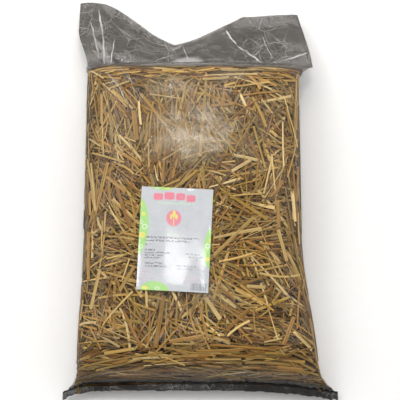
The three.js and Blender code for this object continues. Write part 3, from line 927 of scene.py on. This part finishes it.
def straw_material(name, shade, contrast, coat):
    material, shader, surface = new_material(name)
    look = shader.add("Attribute", attribute_name="straw_look")
    parts = shader.add("SeparateColor", {0: look.outputs["Color"]})
    hue = shader.ramp(parts.outputs[0], STRAW_COLOURS)
    # The second look value darkens the straw: a random tone, and for loose straws painted shade as well.
    value = shader.steps(parts.outputs[1], 0.0, 1.0, 0.08 * shade, 1.12 * shade)
    grey = shader.add("CombineXYZ", {0: value, 1: value, 2: value})
    tinted = shader.blend(1.0, hue, grey, way="MULTIPLY")
    grain = shader.group(shared_group("straw grain", straw_grain), Look=look.outputs["Vector"],
                         Across=look.outputs["Alpha"], Place=shader.add("TexCoord").outputs["Object"],
                         Colour=tinted, Contrast=contrast)
    bump = shader.add("Bump", {"Strength": 0.5, "Distance": 0.25 * MM, "Height": grain.outputs["Height"]})
    shader.wire(surface, {"Base Color": grain.outputs["Colour"], "Roughness": grain.outputs["Roughness"],
                          "Normal": bump, "Specular IOR Level": 0.22, "Coat Weight": coat,
                          "Coat Roughness": 0.28})
    return material


# ---- How the straw lies against the film ----

FILM_SPACE = 1.3 * MM  # from the outside of the film to the first straw
BED_CELL = 2.0 * MM
BACK_WEIGHT, SIDE_WEIGHT = 0.5, 0.9  # share of the front's straw that the back and the sides get
FRONT_FACING, BACK_FACING = 0.35, -0.5  # how far up or down the surface looks where the front or back starts
TILTS = np.linspace(-4, 4, 7) * MM
HELD_SHARE = 0.82  # a straw rests on all but the highest few places under it, where it presses in
INTERLOCK = 0.55  # how much of a straw's thickness the next one is kept off, as straws nest and press flat
KIND_SHARES = {"culm": 0.14, "pressed": 0.34, "split": 0.16, "blade": 0.20, "stalk": 0.16}


def even_steps(places, samples, step):
    """Values of places at equal steps of the distance along a line of samples."""
    run = np.concatenate([[0], np.cumsum(np.linalg.norm(np.diff(samples, axis=0), axis=-1))])
    return np.interp(np.linspace(0, run[-1], int(run[-1] / step) + 1), run, places)


class Bed:
    """The outer surface of the straw as a table of cells, and how deep straw already lies under each."""

    def __init__(self):
        fine = np.linspace(FOOT_Y + 2.5 * MM, NECK_Y - 2.5 * MM, 2000)
        rows = even_steps(fine, body_point(fine, np.full(2000, math.pi / 2), FILM_SPACE), BED_CELL)
        turn = np.linspace(0, 2 * math.pi, 4000)
        columns = even_steps(turn, body_point(np.full(4000, -0.02), turn, FILM_SPACE), BED_CELL)[:-1]
        y, angle = np.meshgrid(rows, columns, indexing="ij")
        self.points = body_point(y, angle, FILM_SPACE)
        ring = np.concatenate([self.points[:, -1:], self.points, self.points[:, :1]], axis=1)
        self.normals = surface_normals(ring)[:, 1:-1]
        self.row_step = np.linalg.norm(np.gradient(self.points, axis=0), axis=-1)
        self.column_step = np.linalg.norm(np.gradient(ring, axis=1)[:, 1:-1], axis=-1)
        s = section(y)
        self.limit = 0.42 * (s["top"] - s["under"])
        self.depth = np.zeros(y.shape)
        self.along_share = np.linspace(0, 1, len(rows))
        facing = self.normals[..., 2]
        behind = np.where(facing < BACK_FACING, BACK_WEIGHT, SIDE_WEIGHT)
        weight = np.where(facing > FRONT_FACING, 1.0, behind)
        self.chance = np.cumsum(self.row_step * self.column_step * weight)

    def pick(self, draw):
        """A random cell, as (row, column)."""
        cell = np.searchsorted(self.chance, draw * self.chance[-1])
        return divmod(int(cell), self.depth.shape[1])

    def near(self, point):
        """The cell nearest to a point."""
        cell = int(np.argmin(((self.points - point) ** 2).sum(-1)))
        return divmod(cell, self.depth.shape[1])

    def at(self, table, rows, columns):
        """Values of a table between its cells."""
        rows = np.clip(rows, 0, table.shape[0] - 1.001)
        r, c = np.floor(rows).astype(int), np.floor(columns).astype(int)
        dr, dc = (rows - r)[..., None], (columns - c)[..., None]
        c, after = c % table.shape[1], (c + 1) % table.shape[1]
        return mix(mix(table[r, c], table[r, after], dc), mix(table[r + 1, c], table[r + 1, after], dc), dr)

    def cells(self, rows, columns):
        return (np.clip(np.round(rows).astype(int), 0, self.depth.shape[0] - 1),
                np.round(columns).astype(int) % self.depth.shape[1])

    def fill(self, rows, columns, depth, half_width, way):
        """Marks the cells under a straw as taken down to a depth."""
        row_side, column_side = -np.sin(way), np.cos(way)
        reach = half_width / BED_CELL
        for across in np.linspace(-reach, reach, 3 if half_width < 2 * MM else 5):
            spot = self.cells(rows + across * row_side, columns + across * column_side)
            np.maximum.at(self.depth, spot, depth)


def straw_direction(bed, row, column, rng):
    """Which way a straw points at a cell, as an angle from the bag's length towards its width."""
    normal = bed.normals[row, column]
    at_end = clamp01((0.17 - min(bed.along_share[row], 1 - bed.along_share[row])) / 0.09)
    at_side = max(0.0, 1 - abs(normal[2]) / 0.75)
    draw = rng.random()
    if draw < at_end:
        return math.pi / 2 + rng.normal(0, 0.28)
    if draw < at_end + at_side:
        return rng.normal(0, 0.25)
    if rng.random() < 0.32:
        return rng.uniform(0, math.pi)
    drift = noise.noise(Vector(bed.points[row, column]) / 0.07 + Vector((0, 0, 31)))
    return 0.9 + 2.6 * drift + rng.normal(0, 0.35)


def settle(bed, rows, columns, stiffness):
    """Depth of a straw's top along its way: it rests on what is laid already, tilted to lie shallowest."""
    spot = bed.cells(rows, columns)
    surface, normals = bed.points[spot], bed.normals[spot]
    share = np.linspace(0, 1, len(rows))
    chord = mix(surface[0], surface[-1], share[:, None])
    sag = stiffness * np.maximum(0, ((surface - chord) * normals).sum(-1))
    under = bed.depth[spot] - sag
    leans = TILTS[:, None] * (2 * share - 1)
    held = int(HELD_SHARE * (len(rows) - 1))
    rests = np.partition(under - leans, held, axis=1)[:, held]
    flattest = int(np.argmin(rests))
    depth = np.maximum(0, rests[flattest] + leans[flattest] + sag)
    eased = np.maximum(bed.depth[spot], depth - 0.25 * np.minimum(depth - bed.depth[spot], 3 * MM))
    kernel = np.ones(5) / 5
    eased = np.convolve(np.pad(eased, 2, mode="edge"), kernel, mode="valid")
    return np.maximum(eased, 0), spot


def lay_one(bed, kind, length, width, bow, rng):
    """Takes room for one straw, the shallowest of a few places tried, or None if all are too deep."""
    spans = 5 * max(1, int(np.ceil(length / (5 * BED_CELL))))
    u = np.linspace(-1, 1, spans + 1)
    best = None
    for _ in range(4):
        row, column = bed.pick(rng.random())
        way = straw_direction(bed, row, column, rng)
        along = u * length / 2 / max(bed.row_step[row, column], 0.6 * MM)
        around = u * length / 2 / max(bed.column_step[row, column], 0.6 * MM)
        curve = bow * length / BED_CELL * (1 - u ** 2)
        rows = row + along * math.cos(way) - curve * math.sin(way)
        columns = column + around * math.sin(way) + curve * math.cos(way)
        if rows.min() < 0 or rows.max() > bed.depth.shape[0] - 1:
            continue
        depth, spot = settle(bed, rows, columns, 0.6)
        mean = depth.mean()
        if (depth > bed.limit[spot]).mean() > 0.3:
            continue
        if best is None or mean < best[0]:
            best = (mean, rows, columns, depth, way)
    if best is None:
        return None
    mean, rows, columns, depth, way = best
    thickness = STRAW_THICKNESS[kind] * width
    bed.fill(rows, columns, depth + INTERLOCK * thickness, width / 2, way)
    places = np.arange(0, spans + 1, spans // 5)
    surface = bed.at(bed.points, rows[places], columns[places])
    normal = bed.at(bed.normals, rows[places], columns[places])
    path = surface - normal * (depth[places] + thickness / 2)[:, None]
    return {"kind": kind, "path": path, "up": normal, "width": width, "depth": mean}


def roll(up, path, angle):
    """Turns the up vectors of a path round it."""
    along = np.gradient(path, axis=0)
    along /= np.linalg.norm(along, axis=-1, keepdims=True)
    return up * math.cos(angle) + np.cross(along, up) * math.sin(angle)


def node_line(name):
    """The middle line and the width of a long CAD node, as (points, width)."""
    points = np.array([v.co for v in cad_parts[name].data.vertices])
    middle = points.mean(0)
    axis = np.linalg.svd(points - middle, full_matrices=False)[2][0]
    along = (points - middle) @ axis
    curves = [np.polyfit(along, points[:, i], 2) for i in range(3)]
    places = np.linspace(along.min(), along.max(), 6)
    line = np.stack([np.polyval(curve, places) for curve in curves], -1)
    across = np.cross(axis, (0, 0, 1))
    across /= np.linalg.norm(across)
    off = (points - np.stack([np.polyval(curve, along) for curve in curves], -1)) @ across
    return line, float(off.max() - off.min())


# ---- Straw pieces ----

REGIONS = {
    "front_foot_left": lambda p, up: up > FRONT_FACING and p[1] < -0.06 and p[0] < 0,
    "front_foot_right": lambda p, up: up > FRONT_FACING and p[1] < -0.06,
    "front_neck_left": lambda p, up: up > FRONT_FACING and p[0] < 0,
    "front_neck_right": lambda p, up: up > FRONT_FACING,
    "left_side": lambda p, up: up > BACK_FACING and p[0] < -0.05,
    "right_side": lambda p, up: up > BACK_FACING and p[0] > 0.05,
    "back_foot": lambda p, up: p[1] < -0.06,
    "back_neck": lambda p, up: True,
}
FAMILIES = {"culms": ("culm", "pressed", "split", "stalk"), "blades": ("blade",)}
CULM_TAPER, BLADE_TAPER = 0.92, 0.55  # width of a straw's far end as a share of its near end
BED = {}


def straw_bed():
    """The one bed that every straw operator lays into."""
    if "bed" not in BED:
        BED["bed"] = Bed()
    return BED["bed"]


def culm_material():
    name = "dry straw culm"
    return bpy.data.materials.get(name) or straw_material(name, shade=1.0, contrast=0.5, coat=0.03)


def blade_material():
    name = "dry straw leaf"
    return bpy.data.materials.get(name) or straw_material(name, shade=0.92, contrast=0.7, coat=0.0)


class STRAWBAG_OT_front_straws(bpy.types.Operator):
    """Makes the large culms and leaf blades that lie against the front film, one piece for each"""

    bl_idname = "strawbag.front_straws"
    bl_label = "Front culms and blades"

    def execute(self, context):
        settings = context.scene.bag_straw
        rng = np.random.default_rng(settings.seed + 1)
        bed = straw_bed()
        for name in sorted(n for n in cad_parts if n.startswith(("culm_", "leaf_blade_"))):
            is_culm = name.startswith("culm_")
            line, width = node_line(name)
            fine = np.stack([np.interp(np.linspace(0, 5, 40), range(6), line[:, i]) for i in range(3)], -1)
            rows, columns = np.array([bed.near(point) for point in fine]).T
            up = bed.normals[rows[::8].tolist() + [rows[-1]], columns[::8].tolist() + [columns[-1]]]
            inwards = bed.points[rows, columns] - np.repeat(line, 7, axis=0)[:40]
            below = (inwards * bed.normals[rows, columns]).sum(-1)
            way = math.atan2(line[-1, 0] - line[0, 0], line[-1, 1] - line[0, 1])
            kind = ("culm" if rng.random() < 0.7 else "split") if is_culm else "blade"
            depth = np.maximum(0, below) + STRAW_THICKNESS[kind] * width / 2
            bed.fill(rows, columns, depth, width / 2, -way)
            look = np.array([[rng.uniform(0.25, 0.98), rng.uniform(0.60, 0.95)]])
            ends = np.array([[width, width * rng.uniform(0.9, 1.0)]])
            part = lay_straws(kind, line[None], up[None], ends, look)
            straw_piece(f"straw_{name}", [part], culm_material() if is_culm else blade_material(),
                        "culm" if is_culm else "leaf_blade", name)
        return {"FINISHED"}


def draw_straw(settings, rng):
    """Kind, length, width and bow of a random loose straw."""
    kind = rng.choice(list(KIND_SHARES), p=list(KIND_SHARES.values()))
    length = float(np.clip(settings.length * rng.lognormal(0, 0.45), 16 * MM, 125 * MM))
    width = float(np.clip(settings.width * rng.lognormal(0, 0.36), 1.2 * MM, 6.2 * MM))
    if kind == "stalk":
        width *= 0.42
    if kind == "blade":
        width *= 1.15
    bow = rng.normal(0, 0.015) if rng.random() < 0.85 else rng.normal(0, 0.07)
    return str(kind), length, width, bow


class STRAWBAG_OT_loose_straws(bpy.types.Operator):
    """Lays the loose straw against the inside of the film, each straw under those laid before it"""

    bl_idname = "strawbag.loose_straws"
    bl_label = "Loose straws"

    def execute(self, context):
        settings = context.scene.bag_straw
        rng = np.random.default_rng(settings.seed)
        bed = straw_bed()
        laid = {region: {} for region in REGIONS}
        for _ in range(settings.count):
            kind, length, width, bow = draw_straw(settings, rng)
            straw = lay_one(bed, kind, length, width, bow, rng)
            if straw is None or straw["depth"] > settings.deepest:
                continue
            middle = straw["path"][len(straw["path"]) // 2]
            up = straw["up"][len(straw["up"]) // 2]
            straw["up"] = roll(straw["up"], straw["path"], rng.normal(0, 0.30))
            sunk = straw["depth"] / settings.deepest
            # Painted shade: straws that lie deeper under the film, and those on the bag's sides, get a darker
            # value.
            shade = 0.85 * sunk ** 0.7 + 0.52 * (1 - abs(up[2]))
            straw["look"] = (rng.random(), float(np.clip(rng.normal(0.90, 0.24) - shade, 0.05, 1)))
            region = next(name for name, test in REGIONS.items() if test(middle, up[2]))
            laid[region].setdefault(kind, []).append(straw)
        for region, kinds in laid.items():
            for family, members in FAMILIES.items():
                parts = []
                for kind in (kind for kind in members if kind in kinds):
                    paths, ups, looks, widths = (np.array([straw[key] for straw in kinds[kind]])
                                                 for key in ("path", "up", "look", "width"))
                    taper = BLADE_TAPER if kind == "blade" else CULM_TAPER
                    parts.append(lay_straws(kind, paths, ups, np.stack([widths, widths * taper], -1), looks))
                if not parts:
                    raise RuntimeError(f"no {family} were laid in {region}")
                is_culm = family == "culms"
                material, slot = (culm_material(), "culm") if is_culm else (blade_material(), "leaf_blade")
                straw_piece(f"loose_{family}_{region}", parts, material, slot)
        return {"FINISHED"}


def core_material():
    """Straw deep in the bag: crossed fibres painted dark as shade, with a few paler ones."""
    material, shader, surface = new_material("deep packed straw")
    place = shader.add("TexCoord").outputs["Object"]
    fibres = []
    for turn, stretch in ((0.5, 9), (-0.7, 11), (1.4, 8)):
        laid = shader.add("Mapping", {"Vector": place, "Rotation": (0, 0, turn),
                                      "Scale": (1, stretch, stretch)})
        fibres.append(shader.noise(laid, 34, 3, 0.6, 0.3))
    crossed = shader.larger(shader.larger(fibres[0], fibres[1]), fibres[2])
    # Painted shade: the deep straw is mostly near black.
    colour = shader.ramp(crossed, [(0.48, (0.010, 0.005, 0.002)), (0.57, (0.040, 0.020, 0.006)),
                                   (0.66, (0.12, 0.065, 0.020)), (0.78, (0.26, 0.155, 0.050))])
    bump = shader.add("Bump", {"Strength": 0.8, "Distance": 2 * MM, "Height": crossed})
    shader.wire(surface, {"Base Color": colour, "Roughness": shader.steps(crossed, 0.5, 0.8, 0.9, 0.6),
                          "Normal": bump, "Specular IOR Level": 0.1})
    return material


CORE_END = 3.5 * MM  # from the seams to the ends of the core
CORE_SHARE = 0.72  # how deep the core starts, as a share of the deepest loose straw


class STRAWBAG_OT_core(bpy.types.Operator):
    """Makes the packed straw under the straws that can be seen, dark with painted shade"""

    bl_idname = "strawbag.core"
    bl_label = "Packed core"

    def execute(self, context):
        ends = CORE_END * np.array([1, -1])
        rows, around = np.linspace(FOOT_Y + ends[0], NECK_Y + ends[1], 170), np.linspace(0, 2 * math.pi, 181)
        y, angle = np.meshgrid(rows, around, indexing="ij")
        s = section(y)
        inset = np.minimum(CORE_SHARE * context.scene.bag_straw.deepest, 0.30 * (s["top"] - s["under"]))
        plain = body_point(y, angle, inset)
        lumps = 2.4 * MM * s["full"] * bumps(plain, 0.013, 21.0, 2)
        points = plain + surface_normals(plain) * lumps[..., None]
        middle = [points[row].mean(0) * np.ones((1, points.shape[1], 3)) for row in (0, -1)]
        points = np.concatenate([middle[0], points, middle[1]])
        bm = grid_bmesh(points, np.zeros((*points.shape[:2], 4)), "unused")
        bm.verts.layers.float_color.remove(bm.verts.layers.float_color["unused"])
        finish_piece(bm, "packed_straw_core", core_material(), "packed_straw", "packed_straw")
        return {"FINISHED"}


# ---- Floor, light and camera ----

TARGET = Vector((0, -0.0203, 0.060))
CAMERA_UP, CAMERA_AWAY = math.radians(78), 1.450


# Soft lights: name, place, what it points at, size, power and colour.
LIGHTS = [
    ("key", (-0.5, 1.8, 2.4), (0, 0, 0.03), (3.4, 1.7), 62, (1.0, 0.98, 0.95)),
    ("left fill", (-2.0, 0.5, 1.9), (0, 0, 0.03), (2.0, 2.0), 27, (1.0, 0.99, 0.97)),
    ("right fill", (2.0, 0.5, 1.9), (0, 0, 0.03), (2.0, 2.0), 21, (1.0, 0.99, 0.97)),
    ("film gleam", (0.06, 0.58, 1.62), (0, 0.10, 0.1), (0.30, 0.22), 4.2, (1, 1, 1)),
    ("label gleam", (-0.12, -0.40, 1.75), (0, -0.08, 0.1), (0.15, 0.13), 1.0, (1, 1, 1)),
]


def soft_light(name, place, aim, size, power, colour):
    lamp = bpy.data.lights.new(name, "AREA")
    lamp.shape = "RECTANGLE"
    lamp.size, lamp.size_y = size
    lamp.energy = power
    lamp.color = colour
    light = bpy.data.objects.new(name, lamp)
    light.location = place
    light.rotation_euler = (Vector(aim) - Vector(place)).to_track_quat("-Z", "Y").to_euler()
    bpy.context.scene.collection.objects.link(light)


def floor_material():
    material, shader, surface = new_material("pale floor")
    speckle = shader.noise(shader.add("TexCoord").outputs["Object"], 60, 4, 0.6)
    shader.wire(surface, {"Base Color": shader.blend(speckle, (0.80, 0.80, 0.80), (0.84, 0.84, 0.84)),
                          "Roughness": shader.steps(speckle, 0.3, 0.7, 0.75, 0.9)})
    return material


class STRAWBAG_OT_stage(bpy.types.Operator):
    """Sets up the pale floor, the soft light and the camera"""

    bl_idname = "strawbag.stage"
    bl_label = "Stage"

    def execute(self, context):
        bm = bmesh.new()
        bmesh.ops.create_grid(bm, x_segments=1, y_segments=1, size=6)
        mesh = bpy.data.meshes.new("floor")
        bm.to_mesh(mesh)
        bm.free()
        mesh.materials.append(floor_material())
        floor = bpy.data.objects.new("floor", mesh)
        context.scene.collection.objects.link(floor)

        world = bpy.data.worlds.new("soft room")
        world.use_nodes = True
        world.node_tree.nodes["Background"].inputs[0].default_value = (1.0, 0.99, 0.97, 1)
        world.node_tree.nodes["Background"].inputs[1].default_value = 0.42
        context.scene.world = world
        for lamp in LIGHTS:
            soft_light(*lamp)

        lens = bpy.data.cameras.new("camera")
        lens.lens, lens.sensor_width = 90, 36
        camera = bpy.data.objects.new("camera", lens)
        camera.location = TARGET + CAMERA_AWAY * Vector((0, -math.cos(CAMERA_UP), math.sin(CAMERA_UP)))
        camera.rotation_euler = (TARGET - camera.location).to_track_quat("-Z", "Y").to_euler()
        context.scene.collection.objects.link(camera)
        context.scene.camera = camera
        context.scene.view_settings.view_transform = "Standard"
        return {"FINISHED"}


# ---- The add-on ----

OPERATORS = (STRAWBAG_OT_stage, STRAWBAG_OT_film, STRAWBAG_OT_label, STRAWBAG_OT_front_straws,
             STRAWBAG_OT_loose_straws, STRAWBAG_OT_core)


class STRAWBAG_PT_panel(bpy.types.Panel):
    bl_idname = "STRAWBAG_PT_panel"
    bl_label = "Straw bag"
    bl_space_type = "VIEW_3D"
    bl_region_type = "UI"
    bl_category = "Straw bag"

    def draw(self, context):
        for name, group in SETTINGS.items():
            box = self.layout.box()
            for setting in group.__annotations__:
                box.prop(getattr(context.scene, name), setting)
        for operator in OPERATORS:
            self.layout.operator(operator.bl_idname)


def register():
    for cls in (*SETTINGS.values(), *OPERATORS, STRAWBAG_PT_panel):
        bpy.utils.register_class(cls)
    for name, group in SETTINGS.items():
        setattr(bpy.types.Scene, name, bpy.props.PointerProperty(type=group))


def unregister():
    for name in SETTINGS:
        delattr(bpy.types.Scene, name)
    for cls in (STRAWBAG_PT_panel, *reversed(OPERATORS), *reversed(SETTINGS.values())):
        bpy.utils.unregister_class(cls)


def main():
    register()
    bpy.ops.strawbag.stage()
    bpy.ops.strawbag.film()
    bpy.ops.strawbag.label()
    bpy.ops.strawbag.front_straws()
    bpy.ops.strawbag.loose_straws()
    bpy.ops.strawbag.core()


if __name__ == "__main__":
    main()
